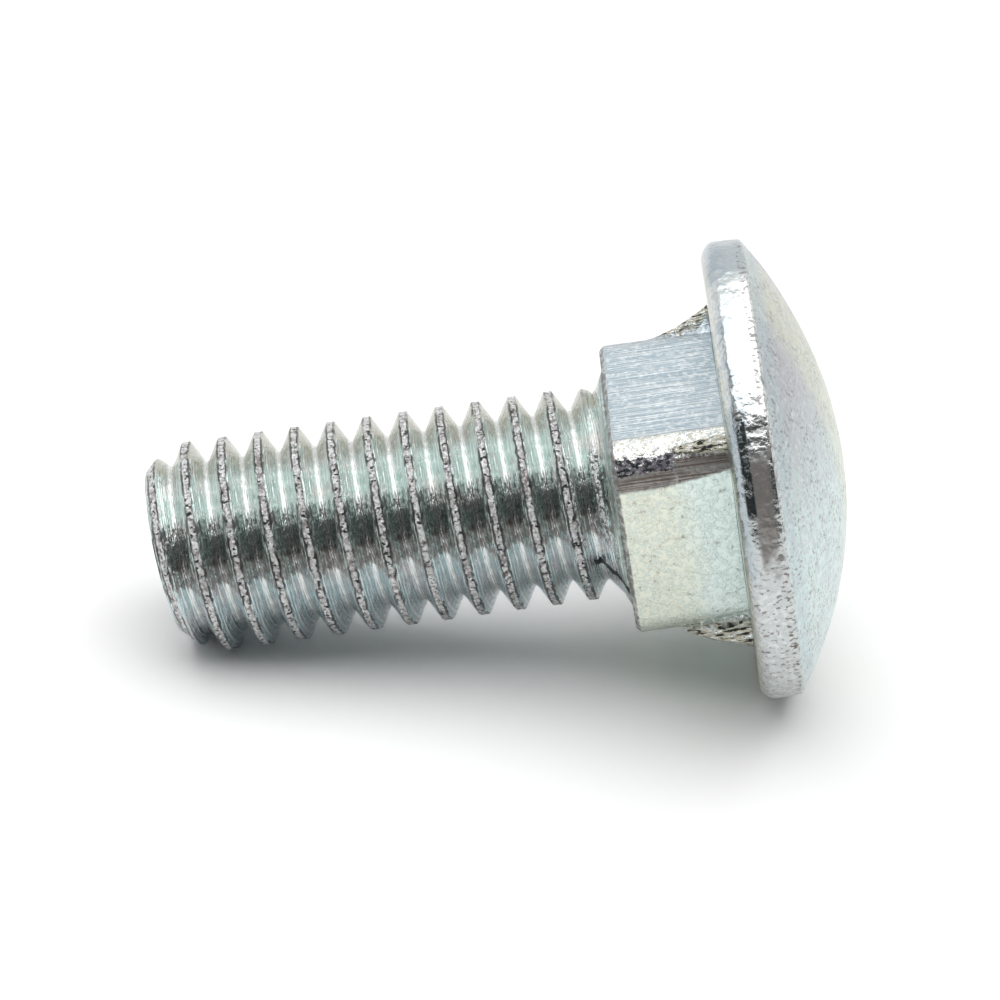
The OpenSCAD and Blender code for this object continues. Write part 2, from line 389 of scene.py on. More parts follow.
def thread_solid(sizes, material):
    """The threaded shank, cropped at the leaning end face and closed inside the neck."""
    pitch = mm(sizes.pitch)
    start = -mm(sizes.bolt_length) - SPARE_TURNS * pitch
    stop = -mm(sizes.neck_depth) + THREAD_TIE
    turns = math.ceil((stop - start) / pitch + 1.0)
    mesh = made_by_nodes(thread_tree(), "rolled_thread", {
        "Turns": float(turns), "Steps along": turns * TURN_STEPS + 1,
        "Points across": PROFILE_POINTS,
        "Pitch": pitch, "Outside radius": mm(sizes.thread_diameter) / 2,
        "Root radius": mm(sizes.root_diameter) / 2, "Shank radius": mm(sizes.shank_diameter) / 2,
        "Half crest": mm(sizes.crest_flat) / 2, "Half root": mm(sizes.root_flat) / 2,
        "Start height": start, "Start angle": sizes.start_angle - SPARE_TURNS * math.tau,
        "End of run-out": -mm(sizes.neck_depth), "Run-out": mm(sizes.runout),
        "Point height": -mm(sizes.bolt_length), "Point radius": mm(sizes.point_cone) / 2,
        "Point slope": math.tan(sizes.point_angle), "Edge softness": THREAD_SOFTNESS,
        "Material": material})
    lean = Matrix.Rotation(sizes.lean_angle, 3, "Z") @ Matrix.Rotation(sizes.end_lean, 3, "Y")
    end_out = lean @ Vector((0, 0, -1))
    end_place = Vector((0, 0, -mm(sizes.bolt_length)))
    bm = bmesh.new()
    bm.from_mesh(mesh)
    bpy.data.meshes.remove(mesh)
    break_edge(bm, end_place, end_out, mm(sizes.point_diameter) / 2)
    crop(bm, end_place, end_out)
    crop(bm, Vector((0, 0, stop)), Vector((0, 0, 1)))
    close(bm, end_place, end_out)
    bmesh.ops.holes_fill(bm, edges=[e for e in bm.edges if e.is_boundary], sides=0)
    bmesh.ops.recalc_face_normals(bm, faces=bm.faces)
    return bm


def crop(bm, place, outward):
    """Cuts off all that lies past a plane."""
    bmesh.ops.bisect_plane(bm, geom=bm.verts[:] + bm.edges[:] + bm.faces[:], dist=1e-5,
                           plane_co=place, plane_no=outward, clear_outer=True)


def break_edge(bm, place, outward, radius):
    """Draws in what stands out of a 45 degree cone at the end face."""
    cone_length = 1.5
    for vert in bm.verts:
        past = (vert.co - place).dot(outward)
        reach, limit = math.hypot(vert.co.x, vert.co.y), radius - min(past, 0.0)
        if past > -cone_length and reach > limit:
            vert.co.x *= limit / reach
            vert.co.y *= limit / reach


def close(bm, place, outward):
    """Fills the cropped end with rings of faces down to the middle."""
    last = [e for e in bm.edges
            if e.is_boundary and all(abs((v.co - place).dot(outward)) < ON_PLANE for v in e.verts)]
    scale_before = 1.0
    for scale in END_RINGS:
        made = bmesh.ops.extrude_edge_only(bm, edges=last)["geom"]
        fresh = {v for v in made if isinstance(v, bmesh.types.BMVert)}
        for v in fresh:
            v.co = place + (v.co - place) * (scale / scale_before)
        last = [e for e in made if isinstance(e, bmesh.types.BMEdge)
                and e.is_boundary and all(v in fresh for v in e.verts)]
        scale_before = scale
    bmesh.ops.holes_fill(bm, edges=last, sides=0)


def neck_eighth(half, round_):
    """Points over one eighth of the neck, from the middle of a flat to the corner: how far each is
    out along the corner's diagonal, and how far across it."""
    middle = (half - round_) * math.sqrt(2)
    points = []
    for i in range(FLAT_STEPS):
        across = (half - round_) * i / FLAT_STEPS
        points.append(((half + across) / math.sqrt(2), (half - across) / math.sqrt(2)))
    for i in range(CORNER_STEPS + 1):
        a = math.pi / 4 * (1 - i / CORNER_STEPS)
        points.append((middle + round_ * math.cos(a), round_ * math.sin(a)))
    return points


def flare_out(shape, out, across, z, corner):
    """How far out the skin lies once a corner's flare is added."""
    rise, reach, bulge, half_width, offset = shape
    if z is None or z <= -reach:
        return out
    share = (z + reach) / reach
    first_width, flat_top = 0.3, 0.72
    width = half_width * (first_width + (1 - first_width) * share)
    side = abs(across - offset) / width
    cover = 1.0 - min(max((side - flat_top) / (1 - flat_top), 0.0), 1.0)
    return max(out, out + cover * (corner + rise * share ** bulge - out))


def neck_ring(sizes, half, limit, z=None):
    """The neck's section at one height, as points round the axis."""
    round_ = mm(sizes.neck_round) - max(mm(sizes.neck_width) / 2 - half, 0.0)
    corner = (half - round_) * math.sqrt(2) + round_
    eighth = neck_eighth(half, round_)
    ring = []
    for diagonal, shape in FLARES.items():
        turn = math.radians(diagonal)
        for side in (-1, 1):
            for out, across in eighth if side < 0 else eighth[-2:0:-1]:
                across *= side
                out = flare_out(shape, out, across, z, corner)
                ring.append((out * math.cos(turn) - across * math.sin(turn),
                             out * math.sin(turn) + across * math.cos(turn)))
    points = np.array(ring)
    if limit is not None:
        points *= np.minimum(1.0, limit / np.hypot(points[:, 0], points[:, 1]))[:, None]
    return points


def circle(radius, angles, square=None):
    """Points at the given angles, and inside a square if half of its width is given."""
    r = np.full(len(angles), float(radius))
    if square is not None:
        r = np.minimum(r, square / np.maximum(np.abs(np.cos(angles)), np.abs(np.sin(angles))))
    return np.stack([r * np.cos(angles), r * np.sin(angles)], 1)


def neck_rings(sizes, angles):
    """The cone under the neck, its bevelled end and its flats and flares, as (points, height)."""
    half, depth = mm(sizes.neck_width) / 2, mm(sizes.neck_depth)
    bevel, shank = mm(sizes.neck_bevel), mm(sizes.shank_diameter) / 2
    corner = (half - mm(sizes.neck_round)) * math.sqrt(2) + mm(sizes.neck_round)
    inner, gap = half - bevel, 0.03
    # The cone: a foot inside the root of the thread, a waist where it widens, and a wide collar
    waist_r, waist_z = shank + 0.34, -depth - 0.3
    foot_r, foot_z = mm(sizes.root_diameter) / 2 - 0.15, waist_z - 0.83
    collar_r = shank + 0.98
    for k in np.linspace(0, 1, 9):
        yield (circle(foot_r + (waist_r - foot_r) * k, angles, inner),
               foot_z + (waist_z - foot_z) * k)
    for k in (0.3, 0.6, 0.85):
        yield (circle(waist_r + (collar_r - waist_r) * k, angles, inner),
               waist_z + (-depth - waist_z) * k)
    yield circle(collar_r, angles, inner), -depth
    yield neck_ring(sizes, inner - gap, corner - bevel - gap), -depth
    for k in (0.12, 0.5, 0.88):
        yield neck_ring(sizes, inner + bevel * k, corner - bevel * (1 - k)), -depth + bevel * k
    for z in np.linspace(-depth + bevel + gap, -0.02, NECK_RINGS):
        yield neck_ring(sizes, half, None, z), z
    yield neck_ring(sizes, half, None, 0.0), 0.0


def head_rings(sizes, neck_top, angles):
    """The bearing face, the rim and the dome, as (points, height)."""
    rim_r, rim_h = mm(sizes.head_diameter) / 2, mm(sizes.rim_height)
    rounding, broken = mm(sizes.rim_round), mm(sizes.rim_break)
    seat = circle(rim_r - rounding, angles)
    for k in (0.03, 0.1, 0.25, 0.45, 0.65, 0.85, 1.0):
        yield neck_top + (seat - neck_top) * k, 0.0
    for a in np.radians(np.linspace(-80, 0, 8)):
        yield (circle(rim_r - rounding + rounding * math.cos(a), angles),
               rounding + rounding * math.sin(a))
    # Above its straight part the rim leans in, with the square of the height
    straight, lean_in = 1.0, 0.1
    for z in np.linspace(rounding + 0.1, rim_h - broken / 2 - 0.02, RIM_RINGS):
        yield circle(rim_r - lean_in * max(z - straight, 0.0) ** 2, angles), z
    for k in (0.15, 0.5, 0.85):
        yield circle(rim_r - broken * k, angles), rim_h - broken / 2 + broken * k
    rise = mm(sizes.head_height) - rim_h
    dome_base = rim_r - broken / 2
    dome_r = (dome_base ** 2 + rise ** 2) / (2 * rise)
    dome_z = mm(sizes.head_height) - dome_r
    edge = math.asin((rim_r - broken) / dome_r)
    for a in np.linspace(edge - 0.003, edge * 0.012, DOME_RINGS):
        yield circle(dome_r * math.sin(a), angles), dome_z + dome_r * math.cos(a)


def head_and_neck(sizes):
    """The neck's cone, the square neck with its flares, and the head, as one closed skin."""
    top = neck_ring(sizes, mm(sizes.neck_width) / 2, None, 0.0)
    base = neck_ring(sizes, mm(sizes.neck_width) / 2, None)
    angles = np.arctan2(base[:, 1], base[:, 0])
    even = angles[0] + np.linspace(0, math.tau, len(angles), endpoint=False)
    rings = [*neck_rings(sizes, angles), *head_rings(sizes, top, even)]
    return skin([np.column_stack([points, np.full(len(points), float(z))])
                 for points, z in rings])


def skin(rings):
    """Joins rings of as many points into a closed skin, with a flat face at each end."""
    count = len(rings[0])
    bm = bmesh.new()
    verts = [[bm.verts.new(p) for p in ring] for ring in rings]
    for lower, upper in zip(verts, verts[1:]):
        for i in range(count):
            j = (i + 1) % count
            bm.faces.new((lower[i], lower[j], upper[j], upper[i]))
    bm.faces.new(verts[0][::-1])
    bm.faces.new(verts[-1])
    bmesh.ops.recalc_face_normals(bm, faces=bm.faces)
    return bm


def as_object(name, bm):
    mesh = bpy.data.meshes.new(name)
    bm.to_mesh(mesh)
    bm.free()
    return in_scene(name, mesh)


def united(base, tool):
    """One closed skin from two that reach into each other."""
    modifier = base.modifiers.new("union", "BOOLEAN")
    modifier.operation = "UNION"
    modifier.solver = "MANIFOLD"
    modifier.object = tool
    mesh = finished_mesh(base)
    base.modifiers.clear()
    bpy.data.objects.remove(tool)
    old = base.data
    base.data = mesh
    bpy.data.meshes.remove(old)


def ease(value, low, high):
    t = np.clip((value - low) / (high - low), 0.0, 1.0)
    return t * t * (3 - 2 * t)


def grain(points, scale, seed, octaves=3):
    """Smooth seeded noise from about -1 to 1 at each point."""
    shift = Vector((seed * 7.3, seed * 3.1, seed * 5.7))
    return np.array([noise.fractal(Vector(p) * scale + shift, 1.0, 2.0, octaves) for p in points])


def masks(points, sizes):
    """Where each form is on the upright bolt, from 0 to 1, and how high it is on the thread."""
    radius = np.hypot(points[:, 0], points[:, 1])
    z = points[:, 2]
    depth = mm(sizes.neck_depth)
    half, rim_h, length_ = mm(sizes.neck_width) / 2, mm(sizes.rim_height), mm(sizes.bolt_length)
    root, outside = mm(sizes.root_diameter) / 2, mm(sizes.thread_diameter) / 2
    threaded = 1.0 - ease(z, -depth - 0.35, -depth - 0.1)
    corner = (half - mm(sizes.neck_round)) * math.sqrt(2) + mm(sizes.neck_round)
    spread = np.abs(((np.degrees(np.arctan2(points[:, 1], points[:, 0])) % 90) - 45))
    across = radius * np.sin(np.radians(spread))
    half_width, lowest = 1.1, -3.1  # of the widest and the longest flare
    by_corner = (across < half_width) & (z < -0.005) & (z > lowest)
    flared = ease(radius, corner + 0.03, corner + 0.09) * by_corner
    # Only the ridge of the flare behind the upper flat is torn
    rise, reach, bulge = FLARES[BACK_CORNER][:3]
    ridge = corner + rise * np.clip(z / reach + 1.0, 0.0, 1.0) ** bulge
    behind = (points[:, 0] < 0) & (points[:, 1] > 0)
    flared = flared * np.where(behind, ease(radius, ridge - 0.5, ridge - 0.3), 1.0)
    domed = ease(z, rim_h - 0.05, rim_h + 0.15)
    return {
        "threaded": threaded,
        "crest": threaded * np.clip((radius - root) / (outside - root), 0, 1),
        "ended": (1.0 - ease(z, -length_ + 0.25, -length_ + 0.45))
                 * (radius < mm(sizes.point_diameter) / 2 - 0.02),
        "necked": (1 - threaded) * (z < 0.0) * (radius < corner + 1.6),
        "flared": flared,
        "domed": domed,
        "rimmed": ease(radius, half + 3.9, half + 4.3) * (1 - domed),
    }


def rows_of(collection, name):
    """Three numbers for each item of a mesh, such as its points' places."""
    values = np.empty(len(collection) * 3)
    collection.foreach_get(name, values)
    return values.reshape(-1, 3)


def counts_of(collection, name):
    """One whole number for each item of a mesh."""
    values = np.empty(len(collection), np.int64)
    collection.foreach_get(name, values)
    return values


def wear_down(bolt, sizes):
    """Works the plate's roughness and the dents of handling into the skin, and keeps what the
    finish needs to know about each place."""
    mesh = bolt.data
    points, normals = rows_of(mesh.vertices, "co"), rows_of(mesh.vertices, "normal")
    zones = masks(points, sizes)
    angle = np.arctan2(points[:, 1], points[:, 0])
    up = 0.5 + 0.5 * np.cos(angle - math.radians(UP_ANGLE))
    fine = grain(points, 3.2, sizes.seed)
    coarse = grain(points, 0.9, sizes.seed + 1, 2)
    shift = mm(sizes.wear) * (
        CREST_WEAR * ease(zones["crest"], 0.86, 0.97) * (fine - 0.35)
        + NECK_WEAR * zones["necked"] * coarse
        + RIM_WEAR * zones["rimmed"] * (points[:, 2] > 0.3) * coarse
        + DOME_WEAR * zones["domed"] * coarse
        + FLARE_WEAR * zones["flared"] * fine)
    points = points + normals * shift[:, None]
    swell = mm(sizes.rim_swell) * up * ease(points[:, 2], 0.0, 0.5) * ease(
        np.hypot(points[:, 0], points[:, 1]), 6.0, 9.0)
    points[:, 0] += swell * np.cos(angle)
    points[:, 1] += swell * np.sin(angle)
    mesh.vertices.foreach_set("co", points.ravel())
    for name, values in zones.items():
        layer = mesh.attributes.new(name, "FLOAT", "POINT")
        layer.data.foreach_set("value", np.asarray(values, np.float32))
    wrap_thread(mesh, points, sizes)
    mesh.update()


def wrap_thread(mesh, points, sizes):
    """A map that runs along the thread: turns along it, and across it from root to root."""
    pitch = mm(sizes.pitch)
    corners = counts_of(mesh.loops, "vertex_index")
    counts = counts_of(mesh.polygons, "loop_total")
    face = np.repeat(np.arange(len(counts)), counts)
    turn = np.arctan2(points[:, 1], points[:, 0]) / math.tau
    first = turn[corners][np.concatenate([[0], np.cumsum(counts)[:-1]])]
    own = turn[corners]
    own = own + np.round(first[face] - own)
    rise = (points[corners, 2] + mm(sizes.bolt_length)) / pitch - own + (
        sizes.start_angle / math.tau)
    middle = np.bincount(face, rise) / counts
    base = np.floor(middle + 0.5)
    layer = mesh.uv_layers.new(name="along_thread")
    uv = np.stack([own, rise - base[face] + 0.5], 1).astype(np.float32)
    layer.data.foreach_set("uv", uv.ravel())


def shade(bolt, angle):
    """Smooth faces, with a crisp line where two faces meet more steeply than the angle."""
    bm = bmesh.new()
    bm.from_mesh(bolt.data)
    for face in bm.faces:
        face.smooth = True
    for edge in bm.edges:
        edge.smooth = len(edge.link_faces) == 2 and edge.calc_face_angle(0.0) < angle
    bm.to_mesh(bolt.data)
    bm.free()


class Marks:
    """Places and patterns that the finishes share, on the upright bolt. z is the height over the
    bearing face, and up and front are how far a place lies off the axis towards what will be the
    sky and the camera, all in millimetres. side is the angle from front to up, in degrees."""

    def __init__(self, n, sizes):
        place = laid(sizes)
        self.local = n.add("ShaderNodeMapping", vector_type="TEXTURE", named={
            "Vector": n.add("ShaderNodeTexCoord").outputs["Object"],
            "Location": tuple(place.translation),
            "Rotation": tuple(place.to_3x3().normalized().to_euler()),
            "Scale": (MM, MM, MM)}).outputs[0]
        x, y, self.z = n.add("ShaderNodeSeparateXYZ", self.local).outputs

        def along(degrees):
            return n.plus(n.times(x, math.cos(math.radians(degrees))),
                          n.times(y, math.sin(math.radians(degrees))))

        self.up, self.front = along(UP_ANGLE), along(UP_ANGLE + 90)
        self.side = n.times(n.math("ARCTAN2", self.up, self.front), 180 / math.pi)
        self.corner_out, self.corner_across = along(NEAR_CORNER), along(NEAR_CORNER + 90)
        self.fine = n.noise(self.local, 7.5, 3.0, 0.65)
        self.mottle = n.noise(self.local, 3.8, 3.0, 0.65)
        self.sway = n.minus(self.mottle, 0.5)
        self.cloud = n.noise(self.local, 0.9, 2.0, 0.55)
        self.specks = n.noise(n.stretch(self.local, 1.0, 1.0, 0.7), 6.5, 2.0, 0.5)
        self.strokes = n.noise(n.stretch(self.local, 9.0, 9.0, 0.16), 1.4, 2.0, 0.6)


class Finish:
    """The look of the plate as it builds up: each call lays one more film, stain, painted shade
    or roughness.
    """

    def __init__(self, n, base, rough):
        self.n, self.base, self.rough = n, base, rough
        self.relief, self.soil = 0.0, 0.0

    def film(self, tone, *masks):
        self.base = self.n.mix(self.n.all_of(*masks), self.base, tone)

    def stain(self, tone, *masks):
        """A film that isn't metal, so that it hides what the plate reflects: soil, and painted
        shade.
        """
        mask = self.n.all_of(*masks)
        self.base = self.n.mix(mask, self.base, tone)
        self.soil = self.n.most(self.soil, mask)

    def dull(self, value, *masks):
        self.rough = self.n.mix_value(self.n.all_of(*masks), self.rough, value)

    def emboss(self, height, *masks):
        self.relief = self.n.plus(self.relief, self.n.all_of(height, *masks))


def plate_material(colours, sizes):
    """Bright zinc plate over rolled steel, with the marks that each form of the bolt carries, and
    painted highlights and shade where it reflects the light above and the dark room.
    """
    material = bpy.data.materials.new("zinc_plate")
    n = cleared(material)
    marks = Marks(n, sizes)
    plate = Finish(n, base=colours.flank, rough=0.16)
    for finish in (finish_thread, finish_neck, finish_flares, finish_rim, finish_dome):
        finish(n, marks, colours, plate)
    plate.emboss(marks.fine, 0.004)
    # Soil and painted shade are mostly not metal, and rougher than the plate
    bump = n.add("ShaderNodeBump", named={"Strength": 1.0, "Distance": MM,
                                          "Height": plate.relief})
    shader = n.add("ShaderNodeBsdfPrincipled", named={
        "Base Color": plate.base, "Metallic": n.minus(1.0, n.times(plate.soil, 0.85)),
        "Roughness": n.plus(plate.rough, n.times(plate.soil, 0.2)), "Normal": bump.outputs[0]})
    n.end("ShaderNodeOutputMaterial", shader)
    return material


def finish_thread(n, marks, colours, plate):
    """Burnished flanks with streaks along the thread, a bluish painted reflection low down and a
    streaky band of painted shade where they face the camera; bright roots, chalky and pitted
    crests with painted shade along their edges, and a rough patch on the last turn before the
    neck."""
    threaded, ended = n.value_of("threaded"), n.value_of("ended")
    wrap = n.add("ShaderNodeUVMap", uv_map="along_thread").outputs[0]
    across = n.add("ShaderNodeSeparateXYZ", wrap).outputs["Y"]
    off = n.math("ABSOLUTE", n.minus(across, 0.5))
    off = n.plus(off, n.times(marks.sway, 0.13))
    streaks = n.noise(n.stretch(wrap, 7.0, 26.0, 1.0), 1.0, 2.0, 0.6)
    ripples = n.noise(n.stretch(wrap, 46.0, 12.0, 1.0), 1.0, 2.0, 0.6)
    formed = n.times(threaded, n.between(marks.z, -5.6, -6.0))
    top = n.times(formed, n.between(off, 0.10, 0.075))
    edge = n.all_of(formed, n.band(off, 0.085, 0.12, 0.02), n.between(marks.cloud, 0.42, 0.5))
    root = n.between(off, 0.40, 0.46, soft=True)
    # Painted reflection: the lower side of the thread is tinted bluish, for the pale floor that it
    # reflects
    plate.film(colours.sky, threaded, n.between(marks.up, 1.3, -0.8))
    plate.film(colours.zinc, threaded, n.between(streaks, 0.52, 0.58), 0.8)
    plate.film(colours.pink, threaded, n.between(marks.cloud, 0.5, 0.64), 0.4)
    skyline = n.band(marks.side, 90.0, 118.0, 8.0)
    plate.film(colours.straw, threaded, skyline, 0.5)
    plate.stain(colours.brown, threaded, skyline, 0.3)
    plate.film(colours.zinc, root, 0.9)
    # Painted shade: where the flanks face the camera they reflect the dark room, which is painted
    # as a streaky band of brown, chalk and black
    band = n.band(n.plus(marks.side, n.times(streaks, 24.0)), 15.0, 30.0, 5.0)
    plate.stain(colours.brown, band, threaded, n.between(ripples, 0.46, 0.55), 0.7)
    plate.stain(colours.chalk, band, threaded, n.between(streaks, 0.56, 0.62), 0.35)
    plate.stain(colours.black, threaded, n.band(marks.side, 20.0, 42.0, 8.0),
                n.between(ripples, 0.52, 0.59), 0.85)
    rolled = n.times(n.band(marks.z, -6.7, -5.5, 0.1), n.band(marks.side, 2.0, 48.0, 8.0))
    rolled = n.all_of(rolled, threaded, n.between(off, 0.28, 0.2))
    plate.film(colours.zinc, rolled)
    plate.stain(colours.black, rolled, n.between(marks.specks, 0.51, 0.56), 0.8)
    plate.film(colours.chalk, top)
    plate.film(colours.zinc, top, n.between(marks.fine, 0.46, 0.54))
    plate.stain(colours.brown, top, n.between(marks.mottle, 0.54, 0.60), 0.6)
    plate.stain(colours.black, top, n.between(marks.specks, 0.58, 0.63))
    # Painted shade: black lines along the edges of the crests
    plate.stain(colours.black, edge, 0.85)
    plate.film(colours.chalk, ended, 0.6)
    plate.dull(0.11, threaded)
    plate.dull(0.28, top)
    plate.dull(0.34, ended)
    plate.emboss(streaks, threaded, 0.09)
    plate.emboss(ripples, threaded, 0.09)
    plate.emboss(marks.fine, n.most(n.times(rolled, 0.12), n.times(threaded, 0.012)))
    plate.emboss(marks.fine, top, 0.09)
    plate.emboss(marks.mottle, top, 0.10)


def finish_neck(n, marks, colours, plate):
    """Drawn lines on the flats, a darker blue-grey painted reflection on the flat that looks up, a
    peened corner with a painted dark band and the painted shadow of its flare, a rough, soiled end
    and the lap beside it.
    """
    necked = n.value_of("necked")
    facing_up = n.between(n.minus(marks.up, marks.front), -0.4, 0.4)
    upper, lower = n.times(necked, facing_up), n.times(necked, n.minus(1.0, facing_up))
    near_head = n.between(n.plus(marks.z, n.times(marks.cloud, 1.5)), -1.9, -0.6, soft=True)
    plate.film(n.mix(near_head, colours.cream, colours.pale), necked)
    # Painted reflection: the flat that looks up is made darker and blue-grey
    plate.film(colours.blue, upper)
    plate.film(colours.zinc, upper, n.between(marks.strokes, 0.48, 0.60), 0.4)
    plate.film(colours.zinc, upper, n.between(marks.mottle, 0.50, 0.60), 0.35)
    net = n.math("ABSOLUTE", marks.sway)
    plate.film(colours.flank, lower, n.between(net, 0.045, 0.015), 0.7)
    plate.stain(colours.brown, lower, n.between(marks.mottle, 0.60, 0.67),
                n.between(marks.cloud, 0.38, 0.56), 0.4)
    plate.dull(0.34, necked)
    corner = n.all_of(necked, n.between(marks.corner_out, 5.78, 5.92),
                      n.between(n.plus(marks.corner_across, n.times(marks.z, 0.12)), 0.82, 0.72))
    wavy = n.plus(marks.corner_across, n.times(marks.sway, 0.6))
    end_part = n.between(n.plus(marks.z, n.times(marks.mottle, 0.3)), -2.05, -2.2)
    head_part = n.minus(1.0, end_part)
    plate.film(colours.zinc, corner)
    plate.film(colours.rim, corner, n.between(marks.mottle, 0.40, 0.58), 0.8)
    plate.dull(0.2, corner)
    plate.stain(colours.gold, corner, n.between(marks.fine, 0.52, 0.58),
                n.between(marks.corner_across, 0.1, -0.5), 0.55)
    # Painted shade: brown below the corner's dark band and, near the head, the shadow under the
    # near flare; worn only streaks how strong it is
    worn = n.plus(0.6, n.times(n.between(marks.strokes, 0.56, 0.44), 0.35))
    plate.stain(colours.brown, corner, end_part, n.band(wavy, 0.45, 1.5, 0.08), worn)
    plate.stain(colours.brown, corner, head_part, n.band(wavy, 0.1, 1.5, 0.08), worn)
    # Painted shade: the corner's dark band, purple with black specks
    dark = n.all_of(corner, end_part, n.band(wavy, -0.15, 0.45, 0.06))
    plate.stain(colours.painted_shade_purple, dark, n.between(marks.mottle, 0.38, 0.5), 0.85)
    plate.stain(colours.black, dark, n.between(marks.specks, 0.5, 0.56))
    end = n.times(necked, n.band(marks.z, -5.0, -4.74, 0.06))
    plate.film(colours.rim, end, 0.7)
    plate.stain(colours.brown, end, n.between(marks.mottle, 0.42, 0.55), 0.6)
    under = n.between(marks.z, -4.88, -4.95)
    plate.film(colours.flank, necked, under, 0.8)
    lap = n.plus(n.plus(marks.side, 21.0), n.times(n.plus(marks.z, 6.1), 8.5))
    lap = n.plus(lap, n.times(marks.sway, 8.0))
    lap = n.times(n.band(lap, -2.5, 2.5, 0.6), n.band(marks.z, -6.15, -4.95, 0.05))
    plate.stain(colours.black, lap)
    plate.emboss(lap, -0.1)
    plate.emboss(marks.strokes, upper, 0.035)
    plate.emboss(marks.mottle, upper, 0.03)
    plate.emboss(net, lower, 0.05)
    plate.emboss(marks.mottle, lower, 0.035)
    plate.emboss(marks.mottle, corner, 0.06)
    plate.emboss(marks.fine, corner, 0.03)
    plate.emboss(marks.fine, end, 0.08)
    plate.emboss(marks.mottle, necked, under, 0.1)


def finish_flares(n, marks, colours, plate):
    """Torn lines along the flares, gold on their ridges and dark between them."""
    flared = n.value_of("flared")
    lines = n.noise(n.stretch(marks.local, 7.0, 7.0, 0.6), 1.0, 2.0, 0.65)
    plate.film(colours.zinc, flared)
    plate.stain(colours.gold, flared, n.between(lines, 0.58, 0.53), 0.7)
    plate.stain(colours.black, flared, n.between(lines, 0.46, 0.42))
    plate.dull(0.22, flared)
    plate.emboss(lines, flared, 0.25)


def finish_rim(n, marks, colours, plate):
    """A lumpy rim, bright where it reflects the light above as a painted highlight, with bluish
    and brown patches and black marks of painted shade, and specks of soil low down.
    """
    rimmed = n.value_of("rimmed")
    lumps = n.noise(marks.local, 1.5, 2.0, 0.55)
    low = n.between(marks.up, 2.4, -0.3)
    plate.film(colours.rim, rimmed)
    # Painted highlight: clean zinc in lumps where the rim faces the light above
    bright = n.times(n.band(marks.side, 36.0, 78.0, 10.0), n.between(lumps, 0.40, 0.5))
    plate.film(colours.zinc, rimmed, bright)
    # Painted shade: blue-grey lumps low over the highlight, a blue-grey strip by the bearing face
    # on the camera's side, and blue-grey on the rim's top
    plate.film(colours.blue, rimmed, n.between(marks.z, 1.1, 0.8),
               n.band(marks.side, 36.0, 100.0, 12.0), n.between(lumps, 0.42, 0.54), 0.7)
    plate.film(colours.blue, rimmed, n.between(marks.z, 0.6, 0.35),
               n.band(marks.side, 4.0, 40.0, 6.0), 0.55)
    plate.film(colours.blue, rimmed, n.band(marks.side, 88.0, 130.0, 8.0), 0.55)
    plate.dull(0.24, rimmed)
    plate.dull(0.36, rimmed, low)
    plate.film(colours.zinc, rimmed, low, n.between(marks.mottle, 0.48, 0.6), 0.4)
    plate.stain(colours.brown, rimmed, low, n.between(marks.specks, 0.60, 0.65), 0.6)
    plate.stain(colours.brown, rimmed, n.band(marks.z, 1.5, 1.95, 0.08),
                n.between(marks.specks, 0.52, 0.6), 0.6)
    # Painted shade: brown and black on the side towards the camera, where the rim reflects the
    # dark room
    shade = n.times(rimmed, n.band(marks.side, 4.0, 36.0, 6.0))
    plate.stain(colours.brown, shade, n.band(marks.z, 0.85, 1.4, 0.2),
                n.band(n.plus(marks.side, n.times(lumps, 24.0)), 26.0, 38.0, 12.0), 0.6)
    plate.stain(colours.black, rimmed, n.band(marks.side, 19.0, 41.0, 2.0),
                n.band(marks.z, 0.45, 0.75, 0.08), n.between(marks.mottle, 0.44, 0.50))
    plate.film(colours.gold, rimmed, n.band(marks.z, -0.1, 0.12, 0.05), 0.3)
    plate.emboss(lumps, rimmed, 0.12)
    plate.emboss(marks.mottle, rimmed, 0.035)


def finish_dome(n, marks, colours, plate):
    """A soft film over the dome, faintly cross-hatched and pitted."""
    domed = n.value_of("domed")
    # The dome's tint runs from lilac on its lower side to green higher up, with straw in a stripe
    # across its middle
    film = n.mix(n.between(marks.up, 7.0, 1.0), colours.lilac, colours.dome)
    film = n.mix(n.times(n.band(marks.front, -0.5, 2.0, 2.5), 0.6), film, colours.straw)
    plate.film(film, domed)
    plate.film(colours.sky, domed, n.between(marks.z, 2.5, 2.2), 0.6)
    hatch = n.plus(n.noise(n.stretch(marks.local, 1.1, 5.0, 5.0), 1.0, 2.0, 0.6),
                   n.noise(n.stretch(marks.local, 5.0, 1.1, 5.0), 1.0, 2.0, 0.6))
    plate.film(colours.lilac, domed, n.between(hatch, 0.98, 1.07), 0.5)
    plate.film(colours.zinc, domed, n.between(marks.mottle, 0.54, 0.62), 0.3)
    plate.stain(colours.brown, domed, n.between(marks.specks, 0.57, 0.61),
                n.between(marks.cloud, 0.40, 0.56), 0.45)
    plate.dull(0.34, domed)
    plate.emboss(hatch, domed, 0.05)
    plate.emboss(marks.mottle, domed, 0.03)


class BOLT_OT_make(bpy.types.Operator):
    """Make the carriage bolt: its thread, its square neck with flared corners, and its head"""

    bl_idname = "bolt.make"
    bl_label = "Carriage bolt"

    def execute(self, context):
        sizes, colours = context.scene.bolt_sizes, context.scene.plate_colours
        material = plate_material(colours, sizes)
        bolt = as_object("bolt", head_and_neck(sizes))
        united(bolt, as_object("thread", thread_solid(sizes, material)))
        wear_down(bolt, sizes)
        bolt.data.transform(laid(sizes))
        bolt.data.materials.clear()
        bolt.data.materials.append(material)
        shade(bolt, CREASE)
        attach(bolt, BODY)
        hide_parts(NODE)
        return {"FINISHED"}


